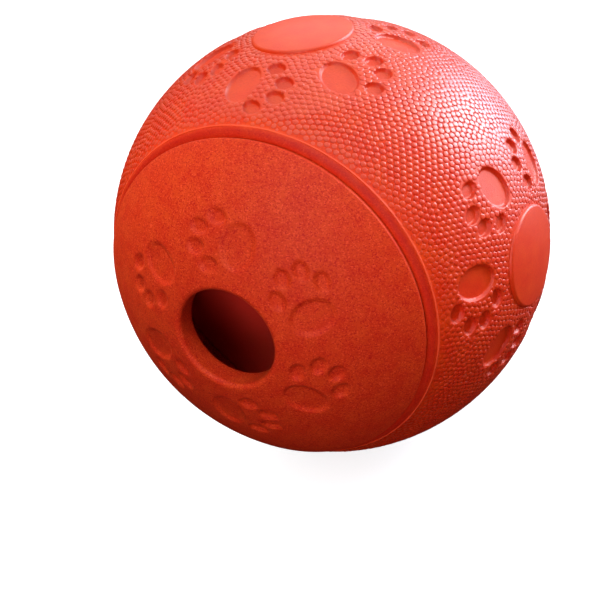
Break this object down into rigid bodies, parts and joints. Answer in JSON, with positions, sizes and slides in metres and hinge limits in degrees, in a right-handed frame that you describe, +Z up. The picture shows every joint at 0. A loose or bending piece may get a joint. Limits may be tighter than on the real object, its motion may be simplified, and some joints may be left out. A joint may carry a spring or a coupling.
{
  "type": "treat dispensing ball",
  "caption": "Hollow rubber ball with a pebbled skin, raised discs and recessed paw prints, a push-in cap with a treat hole, and a maze inside that lets treats out as it rolls.",
  "frame": {"origin": "centre of the ball", "axes": "+Z up, -Y out through the treat hole, +X to the right of someone who looks at the hole"},
  "size_m": [0.11, 0.1083, 0.11],
  "materials": {
    "ball_rubber": "satin moulded rubber with a fine pebble grain",
    "cap_rubber": "matt moulded rubber, finely speckled",
    "maze_rubber": "matt moulded rubber"
  },
  "bodies": {
    "ball": {"ball_body": "ball_rubber", "maze_deck": "maze_rubber", "maze_upright": "maze_rubber", "maze_level": "maze_rubber"},
    "cap": {"mouth_cap": "cap_rubber"}
  },
  "joints": [
    {"name": "cap_pull", "type": "slide", "parent": "ball", "child": "cap", "axis": [0, -1, 0], "range_m": [0, 0.05]}
  ]
}
